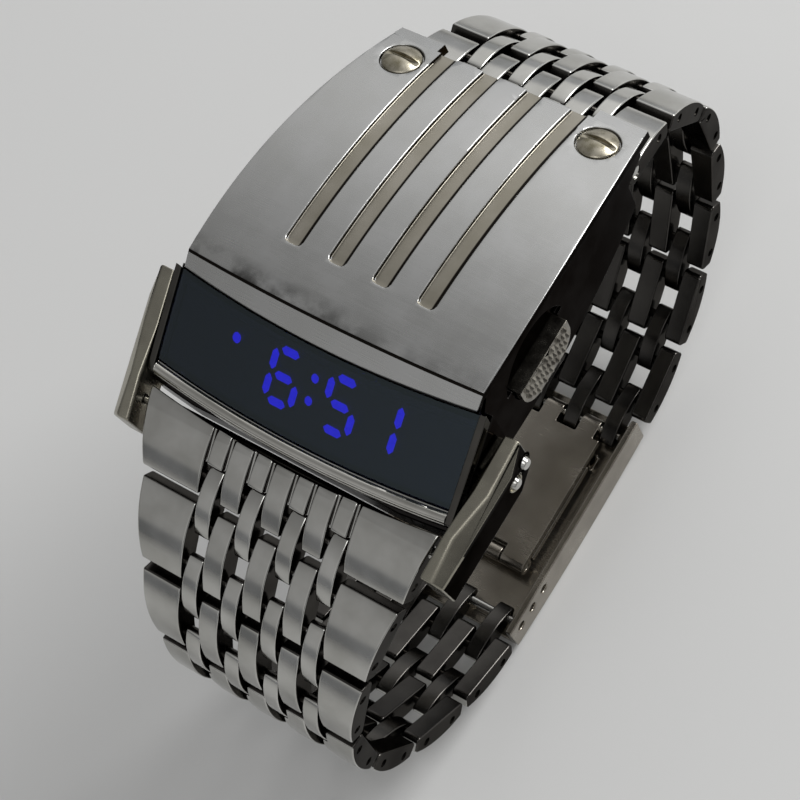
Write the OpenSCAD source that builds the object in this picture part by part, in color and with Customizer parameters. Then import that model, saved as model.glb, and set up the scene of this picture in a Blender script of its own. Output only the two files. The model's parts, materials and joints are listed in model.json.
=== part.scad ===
// Hooded LED wristwatch on a tapering link bracelet with a fold-over clasp.
// Origin: middle of the case back's outer face. +Z out of the dial,
// +Y towards 12 o'clock, +X towards 3 o'clock. Millimetres.

/* [Hood] */
// Width of the hood at its widest, near the front
hood_w = 36.6; // [35:0.2:38]
// Height of the hood's crest over the case back
case_h = 14; // [13.4:0.1:15.5]
// Radius of the hood's arch, front to back
hood_arch_r = 68.4; // [64:0.2:75]
// Radius of the hood's slight crown, side to side
hood_crown_r = 360; // [300:10:500]
// Radius of the hood's barrelled sides, seen from above
hood_side_r = 146; // [135:1:170]
// Sheet thickness of the hood
hood_t = 1.5; // [1.3:0.05:1.8]
// Distance of the hood's back edge from the middle of the case back
hood_back = 23.2; // [22.8:0.1:24]
// How far the hood's back edge steps in between its two screw corners
hood_step = 1.3; // [0.6:0.1:1.6]
// Number of long grooves in the hood
groove_count = 4; // [2:1:4]
// Distance from groove to groove
groove_pitch = 5.45; // [5:0.05:5.6]
// Width of a groove
groove_w = 2.1; // [1.6:0.1:2.6]
// Depth of a groove
groove_depth = 0.5; // [0.3:0.05:0.7]
// Diameter of a hood screw's head
hood_screw_d = 4.4; // [3.6:0.1:4.8]

/* [Front] */
// Radius of the bowed front, seen from above
bow_r = 130; // [120:1:150]
// Slope of the display below the dial plane, degrees
front_slope = 33.5; // [31:0.5:36]
// Run of the window from its top edge to its bottom edge, seen from above
window_run = 8.5; // [7.8:0.1:8.8]
// Thickness of the window
window_t = 1.3; // [1:0.05:1.5]
// Width of the bezel's side rails
rail_w = 0.8; // [0.6:0.05:1.2]
// Width of the bezel's bottom bar, seen from above
bar_w = 1.3; // [1:0.05:1.6]
// Thickness of the bezel
bezel_t = 1.2; // [1:0.05:1.3]

/* [Case] */
// Step from the hood's side edge in to the case's flank
flank_inset = 0.35; // [0.2:0.05:0.8]
// Width of the room inside the case
room_w = 25.4; // [25:0.1:25.8]
// Length of the room inside the case
room_len = 26; // [25.6:0.1:27]
// Width of the case back
back_w = 31.4; // [31.2:0.1:31.8]
// Length of the case back
back_len = 33; // [32:0.1:33.2]
// Thickness of the case back
back_t = 1.4; // [1.2:0.1:1.7]
// How far the case back stands out of the case
back_proud = 0.4; // [0.2:0.05:0.6]
// Diameter of a coin cell
cell_d = 20; // [18:0.5:20]
// Thickness of a coin cell
cell_t = 1.6; // [1.2:0.1:1.6]

/* [Side guards] */
// Thickness of a guard bar at its upper end
guard_t = 2.2; // [1.8:0.1:2.6]
// Width of the chamfer along a guard's outer top edge
guard_chamfer = 1; // [0.6:0.1:1.2]
// Gap between a guard's lower end and the end link
guard_gap = 1.3; // [1:0.1:1.6]

/* [Push button] */
// Length of the button's head along the flank
button_len = 8.9; // [7.5:0.1:9.4]
// Height of the button's head
button_h = 4; // [3.4:0.1:4.2]
// How far the button's head stands out of its pocket
button_proud = 1.3; // [1:0.1:1.6]
// Travel of the button
button_travel = 0.8; // [0.5:0.05:0.9]

/* [Bracelet] */
// Width of the bracelet at the clasp
strap_w_clasp = 23.2; // [22.6:0.1:25]
// Length over which each half of the bracelet tapers
taper_len = 54; // [45:1:60]
// Rows of plates in each half of the bracelet
row_count = 7; // [7:1:7]
// Distance between the two pins of a row
row_pins = 5.3; // [5.2:0.05:5.6]
// Distance between the two pins of a connector
con_pins = 5.2; // [5.1:0.05:5.5]
// Thickness of a row's plates
plate_t = 2.8; // [2.5:0.1:3]
// Crown radius of a row's plates
plate_crown_r = 13; // [11:0.5:18]
// How far a plate reaches past its pins
plate_reach = 2.05; // [1.8:0.05:2.1]
// Width of a narrow inner plate
plate_w = 2.5; // [2.2:0.05:2.7]
// Width of a connector
con_w = 2; // [1.8:0.05:2.2]
// Thickness of a connector at its middle
con_t = 2.7; // [2.5:0.05:2.8]
// Crown radius of a connector
con_crown_r = 8.5; // [8:0.25:12]
// How far a connector reaches past its pins
con_reach = 1.45; // [1.3:0.05:1.55]
// Side gap between the bracelet's columns
col_gap = 0.4; // [0.35:0.05:0.5]
// Diameter of a bracelet pin
pin_d = 1; // [0.8:0.05:1.1]
// Diameter of a spring bar
bar_d = 1.5; // [1.2:0.05:1.6]

/* [Clasp] */
// Outer width of the clasp's cover
clasp_w = 21.8; // [21.4:0.1:23]
// Wall of the clasp's cover
clasp_wall = 0.9; // [0.8:0.05:1]
// Width of the folding blades
blade_w = 15; // [14:0.5:17]
// Thickness of the folding blades
blade_t = 0.8; // [0.7:0.05:0.9]
// Diameter of a blade's rolled knuckle
knuckle_d = 2.1; // [2:0.05:2.2]

/* [Fits] */
// Running clearance round a pin, on the radius
run_gap = 0.04; // [0.02:0.01:0.08]
// Snug clearance round a seated pin, on the radius
snug_gap = 0.02; // [0.01:0.01:0.04]
// Clearance between pieces that are assembled into each other
fit_gap = 0.1; // [0.06:0.01:0.15]

/* [Hidden] */
$fn = 64;
BIG_FN = 360;
FAR = 60;

// Bends between following links at rest, in degrees, from the case to the clasp.
// The first is the end link's own slope below the dial plane.
bends_6 = [34, 4, 4, 10, 10, 13, 13, 13, 13, 12, 12, 10, 10, 10];
bends_12 = [18, 18, 18, 15, 15, 9, 9, 9, 9, 10, 10, 10, 10, 10, 10];

col_pitch = (plate_w + con_w) / 2 + col_gap;
outer_in = 3 * col_pitch + con_w / 2 + col_gap;
pin_r = pin_d / 2;
run_r = pin_r + run_gap;
snug_r = pin_r + snug_gap;
bar_r = bar_d / 2;
bar_tip_r = 0.45;
link_count = 2 * row_count;
plate_round = 0.6;
end_back = 2.2;
end_knuckle_r = 1.2;

function link_len(half, i) = i == 0 ? half[1] : i % 2 == 0 ? row_pins : con_pins;
function link_slope(half, i) = half[2][i] + (i == 0 ? 0 : link_slope(half, i - 1));
function link_run(half, i) = i == 0 ? 0 : link_len(half, i - 1) + link_run(half, i - 1);
function pin_at(half, i) = i == 0 ? half[0] : pin_at(half, i - 1)
    + link_len(half, i - 1) * [cos(link_slope(half, i - 1)), -sin(link_slope(half, i - 1))];
function strap_half(w, s) = strap_w_clasp / 2
    + (w - strap_w_clasp) / 2 * pow(max(0, (taper_len - max(0, s)) / taper_len), 2);

// Hood and front
crest_y = -7.5;
barrel_y = -6;
arch_z = case_h - hood_arch_r;
front_y = -11.25;
bow_y = front_y + bow_r;
slope_k = tan(front_slope);
function under_hood(y, drop) = arch_z + sqrt(pow(hood_arch_r - drop, 2) - pow(y - crest_y, 2));
function side_half(y) = hood_w / 2 - hood_side_r
    + sqrt(pow(hood_side_r, 2) - pow(y - barrel_y, 2));
front_z = under_hood(front_y, 0);
lip_run = hood_t / slope_k;
window_r = bow_r + lip_run + 0.15;
bar_in_r = window_r + window_run;
bar_out_r = bar_in_r + bar_w;
front_face_r = bar_out_r + 0.3;
link_face_r = bar_out_r + 1;
bar_mid_r = bar_in_r + bar_w / 2;
bar_round = bar_w / 2 - 0.03;
glass_drop = 0.35;
window_w = hood_w + 0.4;
window_v = window_t / cos(front_slope);
bezel_v = bezel_t / cos(front_slope);
bezel_half = window_w / 2 + rail_w;
hood_seat = hood_t + fit_gap;
screw_x = side_half(hood_back) - 3.15;
screw_y = hood_back - 4;
screw_z = under_hood(screw_y, 0) - pow(screw_x, 2) / 2 / hood_crown_r;
screw_tilt = asin((screw_y - crest_y) / hood_arch_r);
screw_shank_r = 0.8;
screw_len = 3.4;
head_sink = 0.5;

// Window's seat and the lit display, as drops below the front
gasket_in = 0.5;
led_drop = glass_drop + window_v + 0.09;
led_t = 0.28;
seat_drop = led_drop + 0.4;
board_seat_drop = led_drop + 1.1;
led_top_r = window_r + 0.9;
led_step = 2.3;
led_stroke = 0.7;
digit_half = 1.65;
digit_at = [-8.57, -3.6, 3.45, 8.42];
colon_x = -0.1;

// Case
case_floor = back_proud;
case_back_y = hood_back - 2;
shoulder_y = front_y - 0.4;
roof_t = 1.4;
rise_y = back_len / 2 + 0.3;
front_rise = 9;
rear_rise = 10;
room_corner = 2;
back_corner = 3;
tongue_half = outer_in - col_gap;
tongue_r = 1.5;
case_screw_r = 0.6;
case_head_r = 1.2;
case_screw_x = back_w / 2 - 2.1;
case_screw_y = back_len / 2 - 2.1;
case_screw_len = 4.1;
gasket_t = 0.5;
gasket_w = 0.9;

// Works
cell_x = -1.6;
cell_z = back_t + gasket_t + 0.5;
board_z = cell_z + 2 * cell_t + 0.9;
board_t = 0.8;
cable_w = 12;
cable_z = board_z + 0.4;

// Each half of the bracelet: first pin as distance from the origin and height,
// distance between the end link's pins, bends, width at the end link
strap_w_6 = hood_w + 0.1;
strap_w_12 = 2 * side_half(hood_back) - 0.3;
first_pin_out = 1.274;
first_pin_z = 3;
half_6 = [[bar_out_r - bow_y + first_pin_out, first_pin_z], 4.4, bends_6, strap_w_6];
half_12 = [[case_back_y - 1.2, case_floor + 2.2], row_pins, bends_12, strap_w_12];
// The case's front stops short of the end link's knuckle, narrowed between the guards
front_flat_y = end_knuckle_r + 0.37 - half_6[0][0];
front_narrow = 0.4;
rear_notch_y = half_12[0][0] - 2.4;
rear_notch_z = half_12[0][1] + 2.1;

// Push button
button_y = -3.1;
button_z = 5;
button_out = side_half(button_y) - flank_inset + button_proud;
button_head_t = 2.4;
button_low_r = 0.65 * button_h;
pocket_x = button_out - button_head_t - button_travel - 0.15;
scoop_x = side_half(button_y) - flank_inset - 0.7;
scoop_r = 5.6;
stem_r = 1;
stem_in = room_w / 2 - 1.5;
switch_t = 1.6;
switch_x = stem_in - button_travel - 0.1 - switch_t;
spring_wire = 0.3;
spring_r = 1.45;
spring_bore_r = 1.9;
spring_in = room_w / 2 + 1.2;
clip_x = room_w / 2 - 0.4;
clip_t = 0.3;

// Side guards, drawn in (Y, Z) from their top edge to the end link's first pin,
// and their screws as (Y, Z)
guard_top = [front_y - 1.15, case_h - 4.4];
guard_low = [-half_6[0][0] - 3.16, first_pin_z + 1.4];
guard_flank = [guard_top, guard_top + [-5.8, -2.2], guard_low + [4.6, 1.9], guard_low,
               guard_low + [0.3, -5.4], guard_low + [1.7, -4.8], guard_top + [0.4, -5]];
guard_top_y = guard_top[0];
guard_low_y = guard_low[0] - 0.1;
guard_in_x = bezel_half + 1.3;
guard_low_x = strap_half(strap_w_6, half_6[1]) + guard_gap;
guard_edge = [[guard_in_x + guard_t + 0.1, guard_top_y - 3],
              [guard_low_x + guard_t + 0.9, guard_low_y + 4]];
guard_toe = atan((guard_edge[0][0] - guard_edge[1][0]) / (guard_edge[1][1] - guard_edge[0][1]));
guard_pitch = atan((guard_top[1] - guard_low[1]) / (guard_top[0] - guard_low[0]));
guard_foot = [3.8, 3.3];
guard_foot_z = guard_top[1] - 4.8;
foot_y = guard_top_y - guard_foot[0];
guard_screw_at = [guard_top + [-1, -3.2], guard_top + [-3, -3.9]];
bar_tip_x = guard_low_x + 1.8;
guard_screw_r = 0.45;
guard_head_r = 0.8;
guard_seat_x = guard_in_x + guard_t - 0.5;
guard_screw_in = bezel_half - 1.7;

// Clasp, in the plane of the flank
end_pin = pin_at(half_12, link_count);
strap_pin = [-pin_at(half_6, link_count)[0], pin_at(half_6, link_count)[1]];
cover_top = strap_pin[1] + 1.63;
cover_bottom = strap_pin[1] - 3.17;
cover_r = 200;
cover_12 = end_pin[0] + plate_reach + 0.2;
cover_6 = strap_pin[0] - 1.9;
channel_half = clasp_w / 2 - clasp_wall;
fold_run = 19.4;
fold_pin = [end_pin[0] - fold_run, end_pin[1]];
cover_pin = [end_pin[0] - 3.8, end_pin[1] - 0.81];
knuckle_r = knuckle_d / 2;
cover_knuckle_r = 0.9;
middle_half = 4;
side_in = middle_half + 0.2;
clear_run = 0.3;
adjust_r = 0.62;
adjust_pitch = 2.6;
adjust_count = 3;

// Extrudes a flank drawing (Y, Z) along X, evenly to both sides
module along_x(w) {
    rotate([90, 0, 90]) linear_extrude(w, center = true) children();
}

// Extrudes a flank drawing (Y, Z) from x0 to x1 and mirrors it to the other side
module both_sides(x0, x1) {
    for (m = [0, 1]) mirror([m, 0, 0]) translate([x0, 0, 0]) rotate([90, 0, 90])
        linear_extrude(x1 - x0) children();
}

// Round bar along X through the point (y, z)
module rod(r, len, y, z) {
    translate([0, y, z]) rotate([0, 90, 0]) cylinder(r = r, h = len, center = true);
}

// Upright block between two levels whose plan is drawn in (X, Y)
module between(z0, z1) {
    translate([0, 0, z0]) linear_extrude(z1 - z0) children();
}

module round_rect(w, l, r) {
    square([w - 2 * r, l], center = true);
    square([w, l - 2 * r], center = true);
    for (x = [-1, 1], y = [-1, 1])
        translate([x * (w / 2 - r), y * (l / 2 - r)]) circle(r);
}

// Solid bounded by the hood's arch, lowered by drop
module under_arch(drop) {
    along_x(2 * FAR) translate([crest_y, arch_z]) circle(hood_arch_r - drop, $fn = BIG_FN);
}

// Solid bounded by the bowed, sloping front, lowered by drop
module under_front(drop) {
    z_low = -case_h;
    z_high = 2 * case_h;
    translate([0, bow_y, z_low]) cylinder(
        h = z_high - z_low,
        r1 = bow_r + (front_z - drop - z_low) / slope_k,
        r2 = bow_r + (front_z - drop - z_high) / slope_k,
        $fn = BIG_FN);
}

// Plan between the hood's barrelled sides, stepped in by inset
module barrel_plan(inset) {
    side_x = hood_w / 2 - hood_side_r;
    intersection() {
        translate([side_x, barrel_y]) circle(hood_side_r - inset, $fn = BIG_FN);
        translate([-side_x, barrel_y]) circle(hood_side_r - inset, $fn = BIG_FN);
    }
}

// Plan of everything behind the bow of radius r, up to the level y_max
module behind_bow(r, y_max) {
    intersection() {
        translate([0, bow_y]) circle(r, $fn = BIG_FN);
        translate([-FAR / 2, -FAR]) square([FAR, FAR + y_max]);
    }
}

// Plan of the front strip between two bows
module bow_band(r0, r1, half_w) {
    intersection() {
        difference() {
            translate([0, bow_y]) circle(r1, $fn = BIG_FN);
            translate([0, bow_y]) circle(r0, $fn = BIG_FN);
        }
        translate([-half_w, -FAR]) square([2 * half_w, FAR]);
    }
}

// Solid bounded by the hood's crowned, arched top
module hood_crown() {
    sweep = 16;
    translate([0, crest_y, case_h - hood_crown_r]) rotate([-90, 0, 0])
        rotate([0, 0, -90 - sweep / 2]) rotate_extrude(angle = sweep, $fn = 2 * BIG_FN)
            translate([hood_crown_r - hood_arch_r, 0]) circle(hood_arch_r, $fn = BIG_FN);
}

module hood_plan() {
    corner = (groove_count - 1) / 2 * groove_pitch + groove_w / 2 + 0.5;
    intersection() {
        barrel_plan(0);
        behind_bow(bow_r + lip_run, hood_back);
        union() {
            translate([-FAR / 2, -FAR]) square([FAR, FAR + hood_back - hood_step]);
            for (m = [0, 1]) mirror([m, 0]) translate([corner, -FAR]) square([FAR, 2 * FAR]);
        }
    }
}

// One groove's plan, rounded at its front end and open at the back edge
module groove_plan() {
    r = 0.7;
    translate([0, front_y + 5.7]) {
        translate([-groove_w / 2, r]) square([groove_w, FAR]);
        translate([r - groove_w / 2, 0]) square([groove_w - 2 * r, 2 * r]);
        for (m = [-1, 1]) translate([m * (groove_w / 2 - r), r]) circle(r);
    }
}

module at_hood_screws() {
    for (m = [0, 1]) mirror([m, 0, 0]) translate([screw_x, screw_y, screw_z])
        rotate([-screw_tilt, 0, 0]) children();
}

module hood() {
    color("#8f8a80") difference() {
        intersection() {
            hood_crown();
            between(0, FAR) hood_plan();
            under_front(0);
        }
        under_arch(hood_t);
        difference() {
            between(0, FAR) for (i = [0:groove_count - 1])
                translate([(i - (groove_count - 1) / 2) * groove_pitch, 0]) groove_plan();
            under_arch(groove_depth);
        }
        at_hood_screws() {
            translate([0, 0, -head_sink - fit_gap / 2])
                cylinder(r = hood_screw_d / 2 + 0.2, h = screw_len);
            cylinder(r = screw_shank_r + snug_gap, h = 2 * screw_len, center = true);
        }
    }
}

// Two domed, slotted screws at the hood's back corners
module hood_screws() {
    dome_r = 4.2;
    dome_rise = 0.55;
    slot_w = 0.6;
    color("#a8986f") at_hood_screws() difference() {
        union() {
            intersection() {
                translate([0, 0, dome_rise - dome_r]) sphere(dome_r);
                translate([0, 0, -head_sink]) cylinder(r = hood_screw_d / 2, h = screw_len);
            }
            translate([0, 0, -screw_len]) cylinder(r = screw_shank_r, h = screw_len);
        }
        translate([-FAR / 2, -slot_w / 2, 0]) cube([FAR, slot_w, screw_len]);
    }
}

module case_plan() {
    intersection() {
        behind_bow(front_face_r, case_back_y);
        union() {
            intersection() {
                barrel_plan(flank_inset);
                translate([-FAR / 2, shoulder_y - 2]) square([FAR, FAR]);
            }
            polygon([[-bezel_half, shoulder_y], [-bezel_half, foot_y],
                     [front_narrow - bezel_half, front_flat_y],
                     [bezel_half - front_narrow, front_flat_y],
                     [bezel_half, foot_y], [bezel_half, shoulder_y]]);
        }
    }
}

// Room for the works, open at the case back
module case_room() {
    intersection() {
        between(-1, FAR) round_rect(room_w, room_len, room_corner);
        under_arch(hood_seat + roof_t);
        under_front(bezel_v + 2.4);
    }
}

// Plan of the case back's gasket, filled
module gasket_outline(grow) {
    round_rect(room_w + 2 * (gasket_w + grow), room_len + 2 * (gasket_w + grow),
               room_corner + gasket_w + grow);
}

// Flank drawing of what is cut away where the underside rises at one end
module underside_rise(slope) {
    polygon([[rise_y, case_floor], [FAR, case_floor + (FAR - rise_y) * tan(slope)],
             [FAR, -FAR], [rise_y, -FAR]]);
}

// Outline of the button's head, drawn in (Y, Z), rounded below
module button_outline(grow) {
    half = button_len / 2;
    intersection() {
        union() {
            translate([-half - grow, button_low_r - button_h / 2])
                square([button_len + 2 * grow, button_h]);
            translate([button_low_r - half, -button_h])
                square([button_len - 2 * button_low_r, button_h]);
            for (m = [-1, 1]) translate([m * (half - button_low_r), button_low_r - button_h / 2])
                circle(button_low_r + grow);
        }
        square([button_len + 2 * grow, button_h + 2 * grow], center = true);
    }
}

// Places a drawing in (Y, Z) at the button, extruded from x0 to x1
module at_button(x0, x1) {
    translate([x0, button_y, button_z]) rotate([90, 0, 90]) linear_extrude(x1 - x0) children();
}

module guard_screw_axes() {
    for (p = guard_screw_at) translate([0, p[0], p[1]]) rotate([0, 90, 0]) children();
}

module case_screw_axes() {
    for (x = [-1, 1], y = [-1, 1]) translate([x * case_screw_x, y * case_screw_y, 0]) children();
}

module case_body() {
    color("#3a3936") difference() {
        intersection() {
            between(case_floor, FAR) case_plan();
            under_arch(hood_seat);
            union() {
                under_front(bezel_v + fit_gap);
                // Rim between the window and the hood's lip
                intersection() {
                    under_front(glass_drop);
                    between(0, FAR) intersection() {
                        behind_bow(window_r - fit_gap, 0);
                        square([hood_w - 1, FAR], center = true);
                    }
                }
            }
        }
        case_room();
        // Underside rises to the strap at both ends
        mirror([0, 1, 0]) along_x(FAR) underside_rise(front_rise);
        along_x(FAR) underside_rise(rear_rise);
        // Seat of the window and its gasket
        difference() {
            between(0, FAR) bow_band(window_r - fit_gap, bar_in_r, window_w / 2 + fit_gap);
            under_front(seat_drop);
        }
        // Pocket of the display board and its cable slot
        difference() {
            between(0, FAR) bow_band(window_r + gasket_in, bar_in_r - gasket_in,
                                    window_w / 2 - gasket_in);
            under_front(board_seat_drop);
        }
        translate([-cable_w / 2, -room_len / 2 - 3.5, cable_z]) cube([cable_w, 5, 1.2]);
        // Seats of the case back and its gasket
        between(-1, back_t + fit_gap / 2) round_rect(
            back_w + fit_gap, back_len + fit_gap, back_corner + fit_gap / 2);
        between(0, back_t + gasket_t + fit_gap) gasket_outline(fit_gap / 2);
        case_screw_axes() cylinder(r = case_screw_r + snug_gap, h = case_screw_len + 0.4);
        at_hood_screws() translate([0, 0, -screw_len - 0.2])
            cylinder(r = screw_shank_r + snug_gap, h = screw_len);
        // Push button's pocket, scooped thumb relief, spring and stem bores
        at_button(pocket_x, 2 * pocket_x) button_outline(fit_gap);
        difference() {
            at_button(scoop_x, 2 * scoop_x) translate([0, 0.6]) circle(scoop_r);
            translate([0, button_y - FAR / 2, button_z + button_h / 2 - FAR]) cube(FAR);
        }
        at_button(spring_in, pocket_x + 1) circle(spring_bore_r);
        at_button(room_w / 2 - 1, spring_in + 1) circle(stem_r + run_gap);
        // Guard screws
        for (m = [0, 1]) mirror([m, 0, 0]) translate([guard_screw_in, 0, 0])
            guard_screw_axes() cylinder(r = guard_screw_r + snug_gap, h = FAR);
        // Hinge tongue for the end link behind the hood
        for (m = [0, 1]) mirror([m, 0, 0]) translate([tongue_half, rear_notch_y, -1])
            cube([FAR, FAR, rear_notch_z + 1]);
        difference() {
            translate([-FAR / 2, half_12[0][0], -1]) cube([FAR, FAR, rear_notch_z + 1]);
            rod(tongue_r, FAR, half_12[0][0], half_12[0][1]);
        }
        rod(bar_r + snug_gap, FAR, half_12[0][0], half_12[0][1]);
    }
}

module display_window() {
    color("#10142a") difference() {
        intersection() {
            between(0, FAR) bow_band(window_r, bar_in_r - fit_gap, window_w / 2 - fit_gap / 2);
            under_front(glass_drop);
        }
        under_front(glass_drop + window_v);
    }
}

module window_gasket() {
    color("#1b1b1b") difference() {
        intersection() {
            between(0, FAR) difference() {
                bow_band(window_r, bar_in_r - fit_gap, window_w / 2 - fit_gap / 2);
                bow_band(window_r + gasket_in, bar_in_r - gasket_in, window_w / 2 - gasket_in);
            }
            under_front(glass_drop + window_v + 0.03);
        }
        under_front(seat_drop - 0.03);
    }
}

// Side rails of the window, and the rounded bar between them
module bezel_frame() {
    sweep = 20;
    color("#b9b4a8") difference() {
        union() {
            intersection() {
                between(0, FAR) difference() {
                    bow_band(window_r, bar_out_r, bezel_half);
                    translate([-window_w / 2, -FAR]) square([window_w, FAR]);
                }
                under_front(0);
            }
            intersection() {
                between(0, FAR) bow_band(bar_in_r, bar_out_r, window_w / 2 + 0.1);
                under_front(bar_round / cos(front_slope));
            }
            intersection() {
                translate([0, bow_y, front_z - bar_round / cos(front_slope)
                    - (bar_mid_r - bow_r) * slope_k]) rotate([0, 0, -90 - sweep / 2])
                    rotate_extrude(angle = sweep, $fn = BIG_FN)
                        translate([bar_mid_r, 0]) circle(bar_round, $fn = BIG_FN / 6);
                cube([window_w + 0.2, FAR, FAR], center = true);
            }
        }
        under_front(bezel_v);
    }
}

// Board behind the window, with its flat cable into the room
module led_board() {
    color("#6b4a1c") along_x(cable_w - 4) polygon([
        [-10, cable_z + 0.44], [-10, cable_z + 0.6],
        [-room_len / 2 - 2.9, cable_z + 0.74], [-room_len / 2 - 2.9, cable_z + 0.6]]);
    color("#0c0c10") difference() {
        intersection() {
            between(0, FAR) bow_band(window_r + gasket_in + fit_gap, bar_in_r - gasket_in - fit_gap,
                                    window_w / 2 - gasket_in - fit_gap);
            under_front(led_drop + led_t + 0.02);
        }
        under_front(board_seat_drop - 0.05);
    }
}

// Middle of a segment: x, radius from the bow's centre, and 1 for an upright one
function segments(x) = [
    [x, led_top_r, 0], [x + digit_half, led_top_r + led_step / 2, 1],
    [x + digit_half, led_top_r + 1.5 * led_step, 1], [x, led_top_r + 2 * led_step, 0],
    [x - digit_half, led_top_r + 1.5 * led_step, 1], [x - digit_half, led_top_r + led_step / 2, 1],
    [x, led_top_r + led_step, 0]];

module segment(s) {
    long = s[2] == 1 ? led_step - 0.45 : 2 * digit_half - 1.2;
    w = led_stroke / 2;
    translate([s[0], bow_y - sqrt(pow(s[1], 2) - pow(s[0], 2))])
        rotate(s[2] == 1 ? 90 : 0) polygon([
            [-long / 2, 0], [w - long / 2, w], [long / 2 - w, w],
            [long / 2, 0], [long / 2 - w, -w], [w - long / 2, -w]]);
}

// Lit segments of the time 6:51, its colon and the afternoon dot
module led_segments() {
    color("#3b2bff") difference() {
        intersection() {
            between(0, FAR) {
                for (i = [0, 2, 3, 4, 5, 6]) segment(segments(digit_at[1])[i]);
                for (i = [0, 2, 3, 5, 6]) segment(segments(digit_at[2])[i]);
                for (i = [1, 2]) segment(segments(digit_at[3])[i]);
                for (i = [0.45, 1.35]) translate([colon_x, bow_y - led_top_r - i * led_step])
                    circle(0.38, $fn = 24);
                translate([digit_at[0] - digit_half, bow_y - led_top_r - led_step / 2
                    + pow(digit_at[0], 2) / 2 / bow_r]) circle(0.45, $fn = 24);
            }
            under_front(led_drop);
        }
        under_front(led_drop + led_t);
    }
}

module circuit_board() {
    color("#1f4d2e") {
        between(board_z, board_z + board_t) round_rect(room_w - 1.8, room_len - 3, 1);
        between(board_z + board_t, board_z + board_t + 0.9)
            translate([-1, 1]) square([7, 7], center = true);
        between(board_z + board_t, board_z + board_t + 0.6) for (x = [-8.5, 7])
            translate([x, -7]) square([3, 1.6], center = true);
        // Switch under the board, worked by the button's stem
        between(button_z - 1.1, board_z + 0.1)
            translate([switch_x, button_y - 1.6]) square([switch_t, 3.2]);
    }
}

module module_holder() {
    color("#d8d4c8") between(cell_z - 0.3, board_z - fit_gap) difference() {
        round_rect(room_w - 0.6, room_len - 0.6, room_corner - 0.3);
        translate([cell_x, 0]) circle(cell_d / 2 + 0.25);
        translate([switch_x - 0.3, button_y - 2.5]) square([10, 5]);
    }
}

module coin_cells() {
    color("#c4c6c8") for (i = [0, 1]) translate([cell_x, 0, cell_z + i * cell_t])
        cylinder(r = cell_d / 2, h = cell_t - (1 - i) * 0.02);
}

// Sheet-metal strap that presses on the cells
module battery_clip() {
    color("#b08d4a") {
        between(cell_z - 0.55, cell_z - 0.35) translate([cell_x, 0])
            square([cell_d + 0.6, 5], center = true);
        between(cell_z - 0.4, cell_z - 0.05) translate([cell_x, 0]) circle(1.8);
    }
}

module case_back() {
    color("#9a9a98") difference() {
        between(0, back_t) round_rect(back_w, back_len, back_corner);
        case_screw_axes() {
            translate([0, 0, -1]) cylinder(r = case_head_r + 0.15, h = 1.75);
            cylinder(r = case_screw_r + 0.08, h = 3);
        }
    }
}

module case_back_gasket() {
    color("#202020") between(back_t + 0.03, back_t + gasket_t) difference() {
        gasket_outline(0);
        round_rect(room_w, room_len, room_corner);
    }
}

module case_back_screws() {
    color("#b5b5b2") case_screw_axes() difference() {
        union() {
            translate([0, 0, 0.1]) cylinder(r = case_head_r, h = 0.6);
            translate([0, 0, 0.1]) cylinder(r = case_screw_r, h = case_screw_len);
        }
        translate([-3, -0.2, -1]) cube([6, 0.4, 1.4]);
    }
}

// Bar at the side of the display, from its foot on the case down past the end link
module guard() {
    difference() {
        union() {
            intersection() {
                along_x(FAR) polygon(guard_flank);
                between(-FAR, FAR) polygon([
                    [guard_in_x, guard_top_y], [guard_in_x + guard_t - 0.3, guard_top_y],
                    guard_edge[0], guard_edge[1],
                    [guard_low_x + guard_t + 0.3, guard_low_y], [guard_low_x, guard_low_y]]);
            }
            translate([bezel_half + fit_gap / 2, foot_y, guard_foot_z])
                cube([guard_in_x + 0.4 - bezel_half, guard_foot[0], guard_foot[1]]);
        }
        translate([bezel_half - 1, 0, 0]) guard_screw_axes()
            cylinder(r = guard_screw_r + snug_gap, h = FAR);
        translate([guard_seat_x, 0, 0]) guard_screw_axes()
            cylinder(r = guard_head_r + 0.1, h = FAR);
        // Chamfer down the outer top edge
        translate([guard_edge[0][0], guard_edge[0][1], guard_top[1] - 3 * tan(guard_pitch)])
            rotate([guard_pitch, 0, guard_toe]) translate([-guard_chamfer, 0, 0])
                rotate([0, 45, 0]) translate([-FAR / 2, -FAR / 2, 0]) cube(FAR);
        rod(bar_tip_r + snug_gap, 2 * (bar_tip_x + fit_gap), -half_6[0][0], half_6[0][1]);
    }
}

module guard_left() {
    color("#a39c8d") mirror([1, 0, 0]) guard();
}

module guard_right() {
    color("#a39c8d") guard();
}

module guard_screws() {
    color("#c9c3b4") for (m = [0, 1]) mirror([m, 0, 0]) {
        translate([guard_screw_in + 0.2, 0, 0]) guard_screw_axes()
            cylinder(r = guard_screw_r, h = guard_seat_x - guard_screw_in);
        translate([guard_seat_x + 0.05, 0, 0]) guard_screw_axes()
            cylinder(r1 = guard_head_r, r2 = guard_head_r - 0.25, h = 0.75);
    }
}

// Whether a round stud at (y, z) on the button's face stays inside its outline
function on_face(y, z, r) = let (dy = abs(y) - button_len / 2 + button_low_r,
                                 dz = button_low_r - button_h / 2 - z)
    dy < button_low_r - r && abs(z) < button_h / 2 - r
        && (dy < 0 || dz < 0 || norm([dy, dz]) < button_low_r - r);

// Tapered studs in diamond rows, on a face that looks along +X
module knurl() {
    pitch = 1.2;
    stud_r = 0.54;
    rows = floor(button_h / pitch);
    count = floor(button_len / pitch / 2);
    for (r = [-rows:rows], c = [-count:count]) {
        y = (c + abs(r % 2) / 2) * pitch;
        z = r * pitch / 2 + 0.1;
        if (on_face(y, z, stud_r)) translate([button_out - 0.4, button_y + y, button_z + z])
            rotate([0, 90, 0]) cylinder(r1 = stud_r, r2 = 0.18, h = 0.4, $fn = 4);
    }
}

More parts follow.
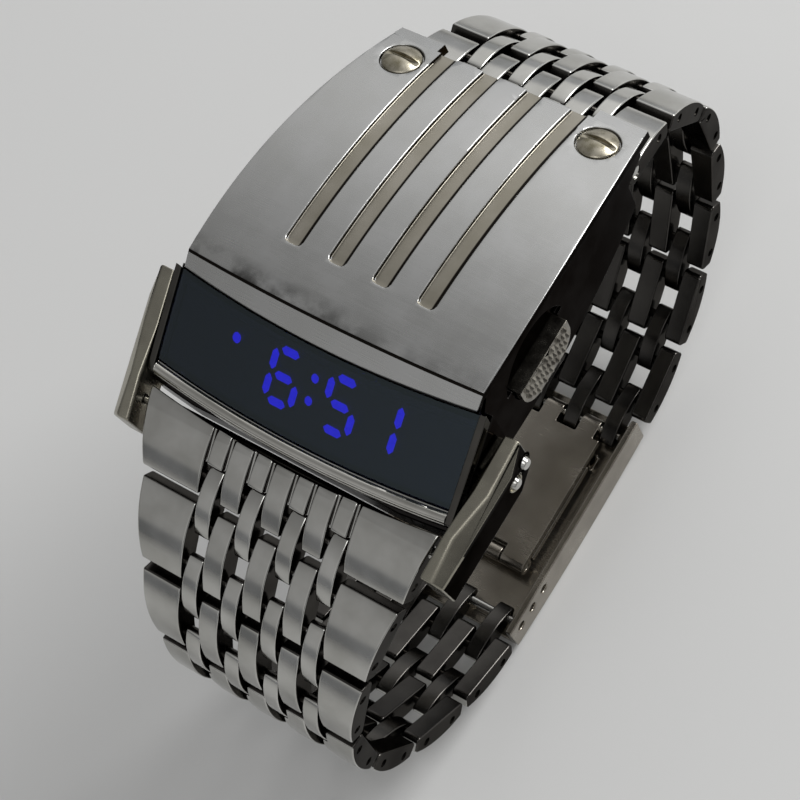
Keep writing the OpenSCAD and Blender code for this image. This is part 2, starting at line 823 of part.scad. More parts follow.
module push_button() {
    color("#8d8a84") {
        at_button(button_out - button_head_t, button_out - 0.38) button_outline(0);
        knurl();
        difference() {
            at_button(stem_in, button_out - button_head_t + 0.1) circle(stem_r);
            at_button(clip_x - 0.03, clip_x + clip_t + 0.03) difference() {
                circle(2 * stem_r);
                circle(stem_r - 0.2);
            }
        }
    }
}

// Clip in the stem's groove that keeps the button in the case
module button_clip() {
    color("#b5b5b2") at_button(clip_x, clip_x + clip_t) difference() {
        circle(stem_r + 0.4);
        circle(stem_r - 0.18);
        translate([-0.6, -3]) square([1.2, 3]);
    }
}

// Coil between the case and the button's head
module button_spring() {
    turns = 5;
    per_turn = 16;
    sides = 8;
    wire_r = spring_wire / 2;
    x0 = spring_in + wire_r + 0.02;
    rise = button_out - button_head_t - 0.02 - wire_r - x0;
    last = turns * per_turn;
    color("#c9c9c6") translate([x0, button_y, button_z]) polyhedron(
        points = [for (i = [0:last], j = [0:sides - 1])
            let (a = 360 * i / per_turn, b = 360 * j / sides, r = spring_r + wire_r * cos(b))
            [rise * i / last + wire_r * sin(b), r * cos(a), r * sin(a)]],
        faces = concat(
            [[for (j = [0:sides - 1]) j]],
            [[for (j = [sides - 1:-1:0]) last * sides + j]],
            [for (i = [0:last - 1], j = [0:sides - 1])
                [i * sides + j, (i + 1) * sides + j,
                 (i + 1) * sides + (j + 1) % sides, i * sides + (j + 1) % sides]]));
}

// Spring bar with thin tips that sit in the guards
module spring_bar_6() {
    color("#b5b5b2") {
        rod(bar_r, 2 * strap_half(strap_w_6, 0) - 1, -half_6[0][0], half_6[0][1]);
        rod(bar_tip_r, 2 * bar_tip_x, -half_6[0][0], half_6[0][1]);
    }
}

module spring_bar_12() {
    color("#b5b5b2") rod(bar_r, 2 * strap_half(strap_w_12, 0) - 0.6, half_12[0][0], half_12[0][1]);
}

// Places a link whose first pin is at the origin, u along +Y, in the half at 12 or 6
module at_12(i) {
    translate([0, pin_at(half_12, i)[0], pin_at(half_12, i)[1]])
        rotate([-link_slope(half_12, i), 0, 0]) children();
}

module at_6(i) {
    mirror([0, 1, 0]) translate([0, pin_at(half_6, i)[0], pin_at(half_6, i)[1]])
        rotate([-link_slope(half_6, i), 0, 0]) children();
}

// Side view of a plate with pins at u = 0 and u = len, reaching back behind the first
module plate_side(len, back) {
    intersection() {
        translate([len / 2, plate_t / 2 - plate_crown_r]) circle(plate_crown_r, $fn = BIG_FN);
        translate([(len + plate_reach - back) / 2, 0])
            round_rect(len + plate_reach + back, plate_t, plate_round);
    }
}

// Outline of link i seen from above, as wide as the strap
module link_plan(half, i, back) {
    len = link_len(half, i);
    s = link_run(half, i);
    far = len + plate_reach;
    a = strap_half(half[3], s - back);
    b = strap_half(half[3], s + far);
    polygon([[-a, -back - 0.1], [a, -back - 0.1], [b, far + 0.1], [-b, far + 0.1]]);
}

module link_pin(half, i, u) {
    rod(pin_r, 2 * strap_half(half[3], link_run(half, i) + u) - 0.5, u, 0);
}

// Five plates side by side on two pins
module row(half, i) {
    color("#6f6a66") difference() {
        union() {
            for (c = [-2, 0, 2]) translate([c * col_pitch, 0, 0])
                along_x(plate_w) plate_side(row_pins, plate_reach);
            intersection() {
                both_sides(outer_in, FAR) plate_side(row_pins, plate_reach);
                between(-plate_t, plate_t) link_plan(half, i, plate_reach);
            }
        }
        for (u = [0, row_pins]) rod(snug_r, FAR, u, 0);
    }
    color("#9a9a98") for (u = [0, row_pins]) link_pin(half, i, u);
}

// Four lens-shaped connectors between two rows
module connectors() {
    color("#7d7873") difference() {
        for (c = [-3, -1, 1, 3]) translate([c * col_pitch, 0, 0]) along_x(con_w)
            translate([con_pins / 2, 0]) intersection() {
                translate([0, con_t / 2 - con_crown_r]) circle(con_crown_r, $fn = BIG_FN);
                translate([0, con_crown_r - con_t / 2]) circle(con_crown_r, $fn = BIG_FN);
                square([con_pins + 2 * con_reach, con_t], center = true);
            }
        for (u = [0, con_pins]) rod(run_r, FAR, u, 0);
    }
}

// Slots for the first connectors, grooves beside the stubs, and bores
module end_link_cuts(len) {
    slot_w = con_w + 2 * col_gap;
    slot_u = len - con_reach - 0.3;
    for (c = [-3, -1, 1, 3]) translate([c * col_pitch, 0, 0]) {
        translate([-slot_w / 2, slot_u, -plate_t]) cube([slot_w, FAR, 2 * plate_t]);
        for (x = [-slot_w / 2, slot_w / 2 - col_gap])
            translate([x, -FAR, bar_r + run_gap + 0.08]) cube([col_gap, FAR + slot_u + 1, FAR]);
    }
    rod(bar_r + run_gap, FAR, 0, 0);
    rod(snug_r, FAR, len, 0);
}

module end_link_6() {
    color("#6f6a66") difference() {
        intersection() {
            at_6(0) between(-plate_t, plate_t) link_plan(half_6, 0, end_back);
            union() {
                at_6(0) rod(end_knuckle_r, FAR, 0, 0);
                difference() {
                    at_6(0) along_x(FAR) plate_side(half_6[1], end_back);
                    translate([0, bow_y, -case_h])
                        cylinder(r = link_face_r, h = 3 * case_h, $fn = BIG_FN);
                }
            }
        }
        at_6(0) end_link_cuts(half_6[1]);
    }
    color("#9a9a98") at_6(0) link_pin(half_6, 0, half_6[1]);
}

module end_link_12() {
    bar_in = tongue_r + 0.3;
    color("#6f6a66") at_12(0) difference() {
        intersection() {
            between(-plate_t, plate_t) link_plan(half_12, 0, plate_t / 2);
            along_x(FAR) intersection() {
                plate_side(row_pins, plate_t / 2);
                union() {
                    circle(plate_t / 2);
                    translate([0, -FAR / 2]) square(FAR);
                }
            }
        }
        translate([-tongue_half - 0.15, bar_in - FAR, -plate_t])
            cube([2 * tongue_half + 0.3, FAR, 2 * plate_t]);
        end_link_cuts(row_pins);
    }
    color("#9a9a98") at_12(0) link_pin(half_12, 0, row_pins);
}

// Shallow channel that closes over the folded blades
module clasp_cover() {
    mid = (cover_6 + cover_12) / 2;
    color("#8a857c") {
        difference() {
            intersection() {
                translate([-clasp_w / 2, cover_6, cover_bottom - 1])
                    cube([clasp_w, cover_12 - cover_6, cover_top - cover_bottom + 1]);
                along_x(FAR) translate([mid, cover_bottom + cover_r])
                    circle(cover_r, $fn = BIG_FN);
            }
            intersection() {
                translate([-channel_half, cover_6 - 1, cover_bottom])
                    cube([2 * channel_half, FAR, FAR]);
                along_x(FAR) translate([mid, cover_bottom + cover_r])
                    circle(cover_r - clasp_wall, $fn = BIG_FN);
            }
            for (i = [0:adjust_count - 1])
                rod(adjust_r, FAR, strap_pin[0] + i * adjust_pitch, strap_pin[1]);
        }
        both_sides(side_in, blade_w / 2 - 0.1) difference() {
            union() {
                translate(cover_pin) circle(cover_knuckle_r);
                translate([cover_pin[0] - cover_knuckle_r, cover_bottom + clasp_wall / 2])
                    square([2 * cover_knuckle_r, cover_pin[1] - cover_bottom - clasp_wall / 2]);
            }
            translate(cover_pin) circle(snug_r);
        }
    }
}

// Middle blade, between the inner blade's fold and the cover
module clasp_middle_blade() {
    low = fold_pin[1] - knuckle_r;
    color("#a39c8d") difference() {
        union() {
            translate([-middle_half, fold_pin[0], low])
                cube([2 * middle_half, cover_pin[0] - fold_pin[0], blade_t]);
            translate([-blade_w / 2, fold_pin[0] + knuckle_r + clear_run, low])
                cube([blade_w, cover_pin[0] - cover_knuckle_r - fold_pin[0] - knuckle_r
                    - 2 * clear_run, blade_t]);
            rod(knuckle_r, 2 * middle_half, fold_pin[0], fold_pin[1]);
            rod(cover_knuckle_r, 2 * middle_half, cover_pin[0], cover_pin[1]);
        }
        rod(run_r, FAR, fold_pin[0], fold_pin[1]);
        rod(run_r, FAR, cover_pin[0], cover_pin[1]);
    }
}

// Inner blade, between the bracelet's half at 12 and the fold
module clasp_inner_blade() {
    low = fold_pin[1] + knuckle_r - blade_t;
    far = end_pin[0] - con_reach - clear_run;
    color("#a39c8d") difference() {
        union() {
            translate([-blade_w / 2, fold_pin[0] + knuckle_r + clear_run, low])
                cube([blade_w, far - fold_pin[0] - knuckle_r - clear_run, blade_t]);
            for (m = [0, 1]) mirror([m, 0, 0]) translate([side_in, fold_pin[0], low])
                cube([blade_w / 2 - side_in, 2 * knuckle_r, blade_t]);
            both_sides(side_in, blade_w / 2) translate(fold_pin) circle(knuckle_r);
            for (c = [-2, 0, 2]) translate([c * col_pitch, 0, 0]) {
                translate([-plate_w / 2, far - 1, low]) cube([plate_w, end_pin[0] - far + 1, blade_t]);
                rod(knuckle_r, plate_w, end_pin[0], end_pin[1]);
            }
        }
        rod(snug_r, FAR, fold_pin[0], fold_pin[1]);
        rod(snug_r, FAR, end_pin[0], end_pin[1]);
    }
}

module clasp_fold_pin() {
    color("#b5b5b2") rod(pin_r, blade_w - 0.2, fold_pin[0], fold_pin[1]);
}

module clasp_cover_pin() {
    color("#b5b5b2") rod(pin_r, blade_w - 0.4, cover_pin[0], cover_pin[1]);
}

module clasp_end_pin() {
    color("#b5b5b2") rod(pin_r, 6 * col_pitch + con_w + 0.4, end_pin[0], end_pin[1]);
}

// Bar that holds the bracelet's half at 6, let in between the cover's walls
module clasp_spring_bar() {
    color("#b5b5b2") rod(pin_r, 2 * channel_half - 0.8, strap_pin[0], strap_pin[1]);
}

case_body();
hood();
hood_screws();
display_window();
window_gasket();
bezel_frame();
guard_left();
guard_right();
guard_screws();
led_board();
led_segments();
circuit_board();
module_holder();
coin_cells();
battery_clip();
case_back();
case_back_gasket();
case_back_screws();
push_button();
button_spring();
button_clip();
spring_bar_6();
spring_bar_12();
end_link_6();
end_link_12();
for (k = [2:row_count]) {
    at_6(2 * k - 2) row(half_6, 2 * k - 2);
    at_12(2 * k - 2) row(half_12, 2 * k - 2);
}
for (k = [1:row_count]) {
    at_6(2 * k - 1) connectors();
    at_12(2 * k - 1) connectors();
}
clasp_cover();
clasp_middle_blade();
clasp_inner_blade();
clasp_fold_pin();
clasp_cover_pin();
clasp_end_pin();
clasp_spring_bar();
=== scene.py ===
import bpy
import json
import math
from mathutils import Matrix, Vector


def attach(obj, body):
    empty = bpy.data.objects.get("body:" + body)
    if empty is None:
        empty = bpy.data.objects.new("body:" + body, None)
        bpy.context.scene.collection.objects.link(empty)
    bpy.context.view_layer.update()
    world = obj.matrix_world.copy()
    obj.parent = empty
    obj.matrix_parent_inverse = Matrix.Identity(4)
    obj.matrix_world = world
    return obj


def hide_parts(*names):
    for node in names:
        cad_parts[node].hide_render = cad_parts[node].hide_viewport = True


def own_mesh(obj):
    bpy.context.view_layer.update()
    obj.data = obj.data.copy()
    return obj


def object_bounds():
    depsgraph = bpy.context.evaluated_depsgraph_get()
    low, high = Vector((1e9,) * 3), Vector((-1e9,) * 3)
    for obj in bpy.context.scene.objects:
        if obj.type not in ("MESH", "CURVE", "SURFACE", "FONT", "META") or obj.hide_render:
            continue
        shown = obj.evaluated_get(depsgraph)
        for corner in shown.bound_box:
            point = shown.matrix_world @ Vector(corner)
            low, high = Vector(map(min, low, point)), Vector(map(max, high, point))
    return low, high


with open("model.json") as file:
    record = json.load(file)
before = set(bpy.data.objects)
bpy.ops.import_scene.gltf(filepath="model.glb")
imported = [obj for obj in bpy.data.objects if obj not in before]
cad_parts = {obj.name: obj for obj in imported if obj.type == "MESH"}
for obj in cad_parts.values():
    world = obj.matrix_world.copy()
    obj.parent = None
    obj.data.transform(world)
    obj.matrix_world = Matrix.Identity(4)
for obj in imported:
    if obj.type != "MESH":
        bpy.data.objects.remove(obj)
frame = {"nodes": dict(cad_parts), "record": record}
cad_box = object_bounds()
scene = bpy.context.scene
scene.view_settings.view_transform = "Standard"

# Lengths are written in millimetres, in the frame of the CAD; Blender works in metres
MM = 0.001

# The hood's four grooves: from one to the next, their middles, half a width and front ends
GROOVE_PITCH = 5.45
GROOVE_X = [GROOVE_PITCH * (i - 1.5) for i in range(4)]
GROOVE_HALF = 1.05
GROOVE_FRONT = -5.6
# Painted shade, near black, at a groove's right side: where it begins and where it is full, from
# the middle
SHADE_LINE_BEGIN = 0.52
SHADE_LINE_FULL = 0.62
# The edge above the hood's lip: its Y in the middle and its bow's radius in plan
LIP_EDGE = -11.25
LIP_BOW = 260
# The painted shade line along that edge: its middle, ahead of the edge, and half its width
LIP_LINE = -0.13
LIP_LINE_HALF = 0.15
# The patchy darkening behind the line: how far back it reaches, its blots, and where it thins to
# the right
DARKENING_REACH = 2.4
DARKENING_BLOT = 2.5
DARKENING_FULL_X = -2
DARKENING_THIN_X = 6
# Narrow steps of the hood's back edge, beside the outer grooves: middle, half a width, front
# end, and where the back edge steps out to the screw corners
STEP_X = 9.5
STEP_HALF = 0.5
STEP_Y = 19
STEP_BACK = 21.95
# Where the hood's sides begin, and the bezel's side rails
HOOD_SIDE = 13
RAIL_INNER = 18.45
# Middle of the bracelet's loop as (Y, Z)
LOOP_MIDDLE = (4, -25)
# Rims of the links' bores, this near to a pivot, stay sharp
BORE_RIM = 0.9
# Corners of the CAD's triangles that are nearer than this are one
MERGE = 0.002
# How wide the edges are softened: plates, screws and bars, knurling, links, lens-shaped
# connectors and the clasp's cover, guards, spring wire
PLATE_EDGE = 0.12
SCREW_EDGE = 0.1
KNURL_EDGE = 0.06
LINK_EDGE = 0.22
LENS_EDGE = 0.2
GUARD_EDGE = 0.3
WIRE_EDGE = 0.01


# Camera, at the photograph's angle: lens, place in metres, the way it looks and its top's way

CAMERA_LENS = 109.23
CAMERA_PLACE = (0.109536, -0.060628, 0.221154)
CAMERA_LOOK = Vector((-0.42017, 0.19519, -0.88620))
CAMERA_TOP = Vector((-0.40722, 0.83216, 0.37637))

camera_data = bpy.data.cameras.new("camera")
camera_data.sensor_width = 36
camera_data.lens = CAMERA_LENS
camera_data.clip_start = 0.01
camera = bpy.data.objects.new("camera", camera_data)
scene.collection.objects.link(camera)
to_right = CAMERA_LOOK.cross(CAMERA_TOP).normalized()
upward = to_right.cross(CAMERA_LOOK).normalized()
camera.matrix_world = Matrix.Translation(CAMERA_PLACE) @ Matrix(
    (to_right, upward, -CAMERA_LOOK)).transposed().to_4x4()
scene.camera = camera


# Materials

# Share by which brushing makes the gloss vary to either side
GLOSS_SPREAD = 0.12
# Grain of moulded and coated stuff: size and depth
GRAIN = 0.4
GRAIN_DEPTH = 0.01
# Smears on the glass, from one to the next
GLASS_SMEAR = 6.25
# Tint of black plating at a flat angle, where bare steel would mirror like white; the dark finishes
# of painted shade take it too
BLACK_SLANT = "#b0b0b0"


def colour(hex_value):
    """A written sRGB colour, such as "#8f8a80", as the linear RGBA that shaders take."""
    parts = [int(hex_value[i:i + 2], 16) / 255 for i in (1, 3, 5)]
    return [p / 12.92 if p <= 0.04045 else ((p + 0.055) / 1.055) ** 2.4 for p in parts] + [1]


def add(tree, kind, inputs=(), **settings):
    """Adds one node with its settings; inputs gives sockets a value or another node's output."""
    new = tree.nodes.new(kind)
    for name, value in settings.items():
        setattr(new, name, value)
    for socket, value in dict(inputs).items():
        if isinstance(value, bpy.types.NodeSocket):
            tree.links.new(value, new.inputs[socket])
        else:
            new.inputs[socket].default_value = value
    return new


def blank(name):
    """A new material with only its output and one Principled shader."""
    material = bpy.data.materials.new(name)
    material.use_nodes = True
    tree = material.node_tree
    tree.nodes.clear()
    shader = add(tree, "ShaderNodeBsdfPrincipled")
    output = add(tree, "ShaderNodeOutputMaterial")
    tree.links.new(shader.outputs[0], output.inputs["Surface"])
    return material, tree, shader


def metal(name, light, dark, roughness, lines=(7, 7, 7), line_depth=0.0015, patch=6,
          slant="#ffffff"):
    """Worked metal: tone in soft patches, fine lines in the finish, gloss varied by handling.

    lines is how many lines a millimetre holds along each axis, drawn coarser than the real
    ones so that they show; line_depth and patch are lengths; slant is the tint of what it
    mirrors at a flat angle, grey for black plating.
    """
    material, tree, shader = blank(name)
    place = add(tree, "ShaderNodeTexCoord").outputs["Object"]
    patches = add(tree, "ShaderNodeTexNoise", {"Vector": place, "Scale": 1 / (patch * MM),
                                               "Detail": 3, "Roughness": 0.55})
    tone = add(tree, "ShaderNodeMapRange", {"Value": patches.outputs["Fac"], "From Min": 0.35,
                                            "From Max": 0.65})
    mix = add(tree, "ShaderNodeMix", {"Factor": tone.outputs["Result"], 6: colour(dark),
                                      7: colour(light)}, data_type="RGBA")
    stretched = add(tree, "ShaderNodeMapping", {"Vector": place,
                                                "Scale": [count / MM for count in lines]})
    brush = add(tree, "ShaderNodeTexNoise", {"Vector": stretched.outputs["Vector"], "Scale": 1,
                                             "Detail": 2, "Roughness": 0.6})
    gloss = add(tree, "ShaderNodeMapRange", {"Value": brush.outputs["Fac"], "From Min": 0.25,
                                             "From Max": 0.75,
                                             "To Min": roughness * (1 - GLOSS_SPREAD),
                                             "To Max": roughness * (1 + GLOSS_SPREAD)})
    handled = add(tree, "ShaderNodeMapRange", {"Value": patches.outputs["Fac"], "From Min": 0.3,
                                               "From Max": 0.7, "To Min": -0.03, "To Max": 0.04})
    total = add(tree, "ShaderNodeMath", {0: gloss.outputs["Result"], 1: handled.outputs["Result"]},
                operation="ADD", use_clamp=True)
    bump = add(tree, "ShaderNodeBump", {"Height": brush.outputs["Fac"], "Strength": 1,
                                        "Distance": line_depth * MM})
    tree.links.new(mix.outputs[2], shader.inputs["Base Color"])
    tree.links.new(total.outputs[0], shader.inputs["Roughness"])
    tree.links.new(bump.outputs["Normal"], shader.inputs["Normal"])
    shader.inputs["Metallic"].default_value = 1
    shader.inputs["Specular Tint"].default_value = colour(slant)
    return material


def plain(name, light, dark, roughness):
    """Moulded, coated or pressed stuff: two close tones and a fine grain."""
    material, tree, shader = blank(name)
    place = add(tree, "ShaderNodeTexCoord").outputs["Object"]
    noise = add(tree, "ShaderNodeTexNoise", {"Vector": place, "Scale": 1 / (GRAIN * MM),
                                             "Detail": 2})
    mix = add(tree, "ShaderNodeMix", {"Factor": noise.outputs["Fac"], 6: colour(dark),
                                      7: colour(light)}, data_type="RGBA")
    bump = add(tree, "ShaderNodeBump", {"Height": noise.outputs["Fac"], "Strength": 0.5,
                                        "Distance": GRAIN_DEPTH * MM})
    tree.links.new(mix.outputs[2], shader.inputs["Base Color"])
    tree.links.new(bump.outputs["Normal"], shader.inputs["Normal"])
    shader.inputs["Roughness"].default_value = roughness
    return material


def blacken(material, mask):
    """Near-black over a finish, as much as mask(tree, place) gives: painted shade, and patchy
    darkening.
    """
    tree = material.node_tree
    shader = tree.nodes["Principled BSDF"]
    base = shader.inputs["Base Color"].links[0].from_socket
    place = add(tree, "ShaderNodeTexCoord").outputs["Object"]
    mix = add(tree, "ShaderNodeMix", {"Factor": mask(tree, place), 6: base,
                                      7: colour("#1d1a17")}, data_type="RGBA")
    tree.links.new(mix.outputs[2], shader.inputs["Base Color"])


def groove_margins(tree, place):
    """Painted shade along the right side of each groove; the grooves lie half a pitch off the
    hood's middle.
    """
    half_pitch = GROOVE_PITCH / 2 * MM
    across = add(tree, "ShaderNodeSeparateXYZ", {0: place}).outputs["X"]
    shifted = add(tree, "ShaderNodeMath", {0: across, 1: half_pitch}, operation="SUBTRACT")
    offset = add(tree, "ShaderNodeMath", {0: shifted.outputs["Value"], 1: half_pitch,
                                          2: -half_pitch}, operation="WRAP")
    groove_shade = add(tree, "ShaderNodeMapRange", {"Value": offset.outputs["Value"],
                                               "From Min": SHADE_LINE_BEGIN * MM,
                                               "From Max": SHADE_LINE_FULL * MM})
    return groove_shade.outputs["Result"]


def behind_lip(tree, way):
    """How far a point lies behind the bowed edge above the lip, in metres."""
    square = add(tree, "ShaderNodeMath", {0: way["X"], 1: way["X"]}, operation="MULTIPLY")
    bow = add(tree, "ShaderNodeMath", {0: square.outputs["Value"], 1: -0.5 / (LIP_BOW * MM),
                                       2: -LIP_EDGE * MM}, operation="MULTIPLY_ADD")
    behind = add(tree, "ShaderNodeMath", {0: way["Y"], 1: bow.outputs["Value"]}, operation="ADD")
    return behind.outputs["Value"]


def lip_darkening(tree, place, way, behind):
    """Patchy darkening on the plate behind the lip, thinner towards the back and the right."""
    fade = add(tree, "ShaderNodeMapRange", {"Value": behind, "From Min": 0,
                                            "From Max": DARKENING_REACH * MM, "To Min": 0.8,
                                            "To Max": 0})
    plate = add(tree, "ShaderNodeMath", {0: behind, 1: 0}, operation="GREATER_THAN")
    smear = add(tree, "ShaderNodeMath", {0: fade.outputs["Result"], 1: plate.outputs["Value"]},
                operation="MULTIPLY")
    aside = add(tree, "ShaderNodeMapRange", {"Value": way["X"], "From Min": DARKENING_FULL_X * MM,
                                             "From Max": DARKENING_THIN_X * MM, "To Min": 1,
                                             "To Max": 0.35})
    blots = add(tree, "ShaderNodeTexNoise", {"Vector": place, "Scale": 1 / (DARKENING_BLOT * MM),
                                             "Detail": 4})
    cloud = add(tree, "ShaderNodeMapRange", {"Value": blots.outputs["Fac"], "From Min": 0.38,
                                             "From Max": 0.6, "To Max": aside.outputs["Result"]})
    patchy = add(tree, "ShaderNodeMath", {0: smear.outputs["Value"], 1: cloud.outputs["Result"]},
                 operation="MULTIPLY")
    return patchy.outputs["Value"]


def lip_step(tree, place):
    """A thin line of painted shade along the bowed edge above the lip, and a patchy darkening
    behind it.
    """
    way = add(tree, "ShaderNodeSeparateXYZ", {0: place}).outputs
    behind = behind_lip(tree, way)
    line = add(tree, "ShaderNodeMath", {0: behind, 1: LIP_LINE * MM, 2: LIP_LINE_HALF * MM},
               operation="COMPARE")
    total = add(tree, "ShaderNodeMath", {0: line.outputs["Value"],
                                         1: lip_darkening(tree, place, way, behind)},
                operation="MAXIMUM")
    return total.outputs["Value"]


def window_glass():
    """Violet filter glass, coated: almost black, a cold sheen, until a segment behind is lit."""
    material, tree, shader = blank("violet_filter_glass")
    place = add(tree, "ShaderNodeTexCoord").outputs["Object"]
    smear = add(tree, "ShaderNodeTexNoise", {"Vector": place, "Scale": 1 / (GLASS_SMEAR * MM),
                                             "Detail": 2})
    gloss = add(tree, "ShaderNodeMapRange", {"Value": smear.outputs["Fac"], "To Min": 0.02,
                                             "To Max": 0.09})
    tree.links.new(gloss.outputs["Result"], shader.inputs["Roughness"])
    shader.inputs["Base Color"].default_value = colour("#56567c")
    shader.inputs["Transmission Weight"].default_value = 1
    shader.inputs["IOR"].default_value = 1.62
    shader.inputs["Specular Tint"].default_value = colour("#d6edf6")
    return material


def lit_segment():
    """Blue-violet light-emitting segment, with a fine grain of brighter spots."""
    material, tree, shader = blank("lit_violet_segment")
    place = add(tree, "ShaderNodeTexCoord").outputs["Object"]
    grain = add(tree, "ShaderNodeTexNoise", {"Vector": place, "Scale": 1 / (GRAIN * MM),
                                             "Detail": 1})
    mix = add(tree, "ShaderNodeMix", {"Factor": grain.outputs["Fac"], 6: colour("#1a10e0"),
                                      7: colour("#3a28ff")}, data_type="RGBA")
    tree.links.new(mix.outputs[2], shader.inputs["Emission Color"])
    shader.inputs["Base Color"].default_value = colour("#20186a")
    shader.inputs["Emission Strength"].default_value = 3
    shader.inputs["Roughness"].default_value = 0.4
    return material


# Gun-metal plated steel, brushed from side to side: neutral grey with a soft streaked shine
hood_steel = metal("brushed_gunmetal_hood", "#c0c0bf", "#babab8", 0.27, lines=(0.18, 6.5, 6.5),
                   line_depth=0.0012)
# Painted shade: a thin dark line along the step above the lip, with a patchy darkening behind it
blacken(hood_steel, lip_step)
# Floors of the hood's grooves, satin and a little bronze where polish doesn't reach
groove_steel = metal("satin_bronzed_groove", "#a6a196", "#969184", 0.36, line_depth=0.002)
# Painted shade: a near-black line along each groove floor's right side
blacken(groove_steel, groove_margins)
# Groove walls, painted nearly black as shade: they draw the grooves' dark outlines
shade_wall_steel = metal("painted_shade_dark_wall", "#24211d", "#171513", 0.34, slant=BLACK_SLANT)
# The case, polished and very dark: a mirror-like flank that stays dark
case_steel = metal("polished_gunmetal_case", "#2d2b2a", "#242221", 0.14, line_depth=0.0006,
                   slant=BLACK_SLANT)
# Polished plated links, finely scratched by wear against each other: bright, with clear mirrorings
link_steel = metal("polished_gunmetal_links", "#c6c5c1", "#b2b1ac", 0.15, line_depth=0.0008)
lens_steel = metal("polished_gunmetal_connectors", "#cccbc7", "#b8b7b2", 0.15, line_depth=0.0008)
# Sides and ends of the links, painted dark as shade: the gaps look deep
shade_side_steel = metal("painted_shade_link_sides", "#4f4d4a", "#3e3c3a", 0.22, line_depth=0.0008,
                   slant=BLACK_SLANT)
# Satin plated bars, lined lengthwise and worn a little brighter and yellower
guard_steel = metal("satin_gunmetal_guards", "#a8a496", "#949084", 0.26, lines=(2.5, 2.5, 0.3))
# Flanks of bars and hood, painted dark as shade, polished: dark, with a thin shine
shade_flank_steel = metal("painted_shade_flank", "#282625", "#1f1e1d", 0.15, slant=BLACK_SLANT)
# Bezel's bottom bar, polished bright, and its side rails, dark like the case
bezel_steel = metal("polished_steel_bezel", "#d0cec8", "#bfbdb6", 0.17)
rail_steel = metal("polished_gunmetal_rails", "#55534f", "#454340", 0.15, slant=BLACK_SLANT)
# Bronzed brass screws, brownish and blotched by age
screw_bronze = metal("bronzed_brass_screws", "#b3ad9e", "#88826f", 0.28, patch=1.2)
# Drawn steel pins and bars, with lines along them: small bright streaks
pin_steel = metal("drawn_steel_pins", "#c4c3bf", "#a9a8a4", 0.2, lines=(0.2, 6, 6))
# Satin stainless back and satin plated clasp, brushed from side to side: a wide soft shine
back_steel = metal("satin_stainless_back", "#bdbab4", "#a5a29c", 0.3, lines=(0.2, 6.5, 6.5))
clasp_steel = metal("satin_gunmetal_clasp", "#a39d93", "#8c867c", 0.24, lines=(0.2, 6.5, 6.5))
# Cut pyramids of the button, darkened all over as painted shade of their valleys: a glitter of
# small points
knurled_steel = metal("knurled_steel_button", "#928e85", "#6a665f", 0.24, patch=1.5)
# Works, hidden in use: nickel plating, a springy bronze strip, lacquered board, moulded acetal,
# moulded rubber and a matt black board that swallows light behind the window
cell_nickel = metal("nickel_plated_cells", "#cfcfcf", "#bdbdbd", 0.2)
strip_bronze = metal("phosphor_bronze_strip", "#c79a5a", "#a87f45", 0.28)
board_mask = plain("green_solder_mask", "#2c6a41", "#1d4a2c", 0.35)
holder_acetal = plain("white_acetal_holder", "#e2ded2", "#d3cfc2", 0.45)
seal_rubber = plain("black_nitrile_seal", "#1c1c1c", "#121212", 0.6)
led_black = plain("matt_black_board", "#08080c", "#050507", 0.55)


# Pieces dressed over the CAD nodes

behaviour = frame["record"]["behaviour"]
body_of_node = {node: body for body, nodes in behaviour["bodies"].items() for node in nodes}
pivots = [Vector(joint["pos_m"][1:]) for joint in behaviour["joints"]
          if joint["type"] == "hinge"]


def near_pivot(point):
    """The rims of the links' bores."""
    return any((Vector((point.y, point.z)) - pivot).length < BORE_RIM * MM for pivot in pivots)


def near_step(point):
    """Narrow steps beside the hood's outer grooves, too thin to be rounded, and the edge behind."""
    beside = abs(abs(point.x) - STEP_X * MM) < STEP_HALF * MM and point.y > STEP_Y * MM
    return beside or point.y > STEP_BACK * MM


def merged_copy(node, flatten):
    """A copy of a CAD node with its loose triangles joined, and flat within so many degrees."""
    bpy.ops.object.select_all(action="DESELECT")
    piece = bpy.data.objects.new(node + "_dressed", frame["nodes"][node].data.copy())
    scene.collection.objects.link(piece)
    piece.select_set(True)
    bpy.context.view_layer.objects.active = piece
    bpy.ops.object.mode_set(mode="EDIT")
    bpy.ops.mesh.select_all(action="SELECT")
    bpy.ops.mesh.remove_doubles(threshold=MERGE * MM)
    bpy.ops.mesh.customdata_custom_splitnormals_clear()
    if flatten:
        bpy.ops.mesh.dissolve_limited(angle_limit=math.radians(flatten))
    bpy.ops.object.mode_set(mode="OBJECT")
    return piece


def mark_edges(mesh, angle, keep):
    """Gives a bevel weight to edges over angle, except where keep holds at both of their ends."""
    weights = mesh.attributes.new("bevel_weight_edge", "FLOAT", "EDGE")
    faces_of = {}
    for face in mesh.polygons:
        for key in face.edge_keys:
            faces_of.setdefault(key, []).append(face.normal)
    for edge in mesh.edges:
        sides = faces_of.get(edge.key, [])
        sharp = len(sides) == 2 and sides[0].angle(sides[1], 0) > math.radians(angle)
        if sharp and keep:
            sharp = not all(keep(mesh.vertices[v].co) for v in edge.vertices)
        weights.data[edge.index].value = 1 if sharp else 0


def dress(node, material, width, angle=28, keep=None, flatten=0.5):
    """A merged copy of a CAD node with edges softened by width, in the node's place."""
    piece = merged_copy(node, flatten)
    mark_edges(piece.data, angle, keep)
    bevel = piece.modifiers.new("soft_edges", "BEVEL")
    bevel.width = width * MM
    bevel.segments = 3
    bevel.limit_method = "WEIGHT"
    bevel.use_clamp_overlap = False
    bevel.miter_outer = "MITER_ARC"
    bpy.ops.object.modifier_apply(modifier=bevel.name)
    bpy.ops.object.shade_smooth_by_angle(angle=math.radians(32))
    even = piece.modifiers.new("even_shading", "WEIGHTED_NORMAL")
    even.keep_sharp = True
    bpy.ops.object.modifier_apply(modifier=even.name)
    piece.data.materials.clear()
    piece.data.materials.append(material)
    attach(piece, body_of_node[node])
    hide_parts(node)
    return piece


